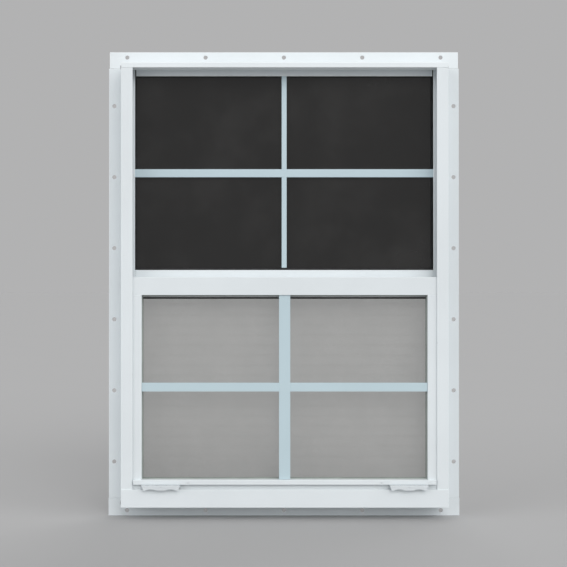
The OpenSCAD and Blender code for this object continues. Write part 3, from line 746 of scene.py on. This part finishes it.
def screw(bm, matrix):
    """Adds one screw; its head stands above the matrix's Z = 0."""
    made = []

    def ring(points):
        found = [bm.verts.new(p) for p in points]
        made.extend(found)
        return found

    turns = [2 * math.pi * i / AROUND for i in range(AROUND)]
    rings = [ring([(r * math.cos(a), r * math.sin(a), h) for a in turns]) for r, h in HEAD_RINGS]
    rows = round(SHANK_LONG / THREAD_PITCH * ROWS_A_TURN)
    for row in range(rows + 1):
        z = -SHANK_LONG * row / rows
        taper = min(1.0, (rows - row) / TIP_ROWS + 0.35)
        points = []
        for a in turns:
            wave = abs(((z / THREAD_PITCH + a / (2 * math.pi)) % 1.0) * 2 - 1)
            r = (THREAD_ROOT + (THREAD_TOP - THREAD_ROOT) * wave) * taper
            points.append((r * math.cos(a), r * math.sin(a), z))
        rings.insert(0, ring(points))
    for a, b in zip(rings, rings[1:]):
        skin(bm, a, b)
    bm.faces.new(rings[0][::-1])
    rim = ring(cross_outline(RECESS_LONG, RECESS_HALF, HEAD_RINGS[-1][1]))
    deep = ring(cross_outline(RECESS_LONG * 0.55, RECESS_HALF * 0.7, HEAD_RINGS[-1][1] - RECESS_DEEP))
    skin(bm, rim, deep)
    bm.faces.new(deep)
    sides = [(a[i], a[(i + 1) % len(a)]) for a in (rings[-1], rim) for i in range(len(a))]
    edges = [bm.edges.get(side) or bm.edges.new(side) for side in sides]
    bmesh.ops.triangle_fill(bm, edges=edges, use_beauty=True)
    bmesh.ops.transform(bm, matrix=matrix @ Matrix.Scale(MM, 4), verts=made)


SAME_POINT = 0.002 * MM


def welded(node):
    """A copy of a CAD node's mesh, with the vertices that its import doubled joined again."""
    bm = bmesh.new()
    bm.from_mesh(NODES[node].data)
    bmesh.ops.remove_doubles(bm, verts=bm.verts, dist=SAME_POINT)
    return bm


def solids_of(node):
    """Low and high corners of each separate solid of a CAD node."""
    bm = welded(node)
    left, found = set(bm.verts), []
    while left:
        todo, group = [left.pop()], []
        while todo:
            v = todo.pop()
            group.append(v)
            for e in v.link_edges:
                o = e.other_vert(v)
                if o in left:
                    left.remove(o)
                    todo.append(o)
        found.append(tuple(Vector(f(v.co[k] for v in group) for k in range(3)) for f in (min, max)))
    bm.free()
    return sorted(found, key=lambda box: tuple(box[0]))


def screws(looks, node, body):
    """Detailed screws in the places of a node's CAD screws, each with its head away from their middle."""
    bm = bmesh.new()
    boxes = solids_of(node)
    centre = sum(((low + high) / 2 for low, high in boxes), Vector()) / len(boxes)
    for k, (low, high) in enumerate(boxes):
        size, mid = high - low, (low + high) / 2
        axis = max(range(3), key=lambda i: size[i])
        side = 1 if mid[axis] > centre[axis] else -1
        out = Vector([side if i == axis else 0 for i in range(3)])
        seat = mid.copy()
        seat[axis] = (high[axis] if side > 0 else low[axis]) - side * HEAD_RINGS[-1][1] * MM
        turn = Matrix.Rotation(math.radians(FIRST_TURN_DEG + NEXT_TURN_DEG * k), 4, "Z")
        screw(bm, Matrix.Translation(seat) @ out.to_track_quat("Z", "Y").to_matrix().to_4x4() @ turn)
    piece(node + "_pan", bm, looks["screw_steel"][0], body, [node])


def latch_spring(looks, side):
    """The folded spring behind a latch, as a piece on no body with its placement baked into its mesh."""
    node = f"{side}_latch_spring"
    material = looks["spring_steel"][0]
    made = piece(f"{side}_latch_leaf_spring", welded(node), material, None, [node])
    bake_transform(made)


# ---------- the whole window ----------


def build():
    add_camera()
    looks = make_looks()
    slots = {row["node"]: row["material_slot"] for row in frame["record"]["subparts"]}
    for name, cad in NODES.items():
        dress(cad, looks, slots[name])
    screen_cloth(looks)
    spline_cord(looks)
    for row in GASKETS:
        glazing_gasket(looks, *row)
    bulb_seal(looks)
    for seed, node in enumerate(PILE_NODES, PILE_SEED):
        pile_strip(looks, node, seed)
    for node, body in (("corner_screws", FRAME), ("fixed_rail_screws", FRAME), ("sash_screws", SASH)):
        screws(looks, node, body)
    for side in ("left", "right"):
        latch_spring(looks, side)
    add_studio()


build()
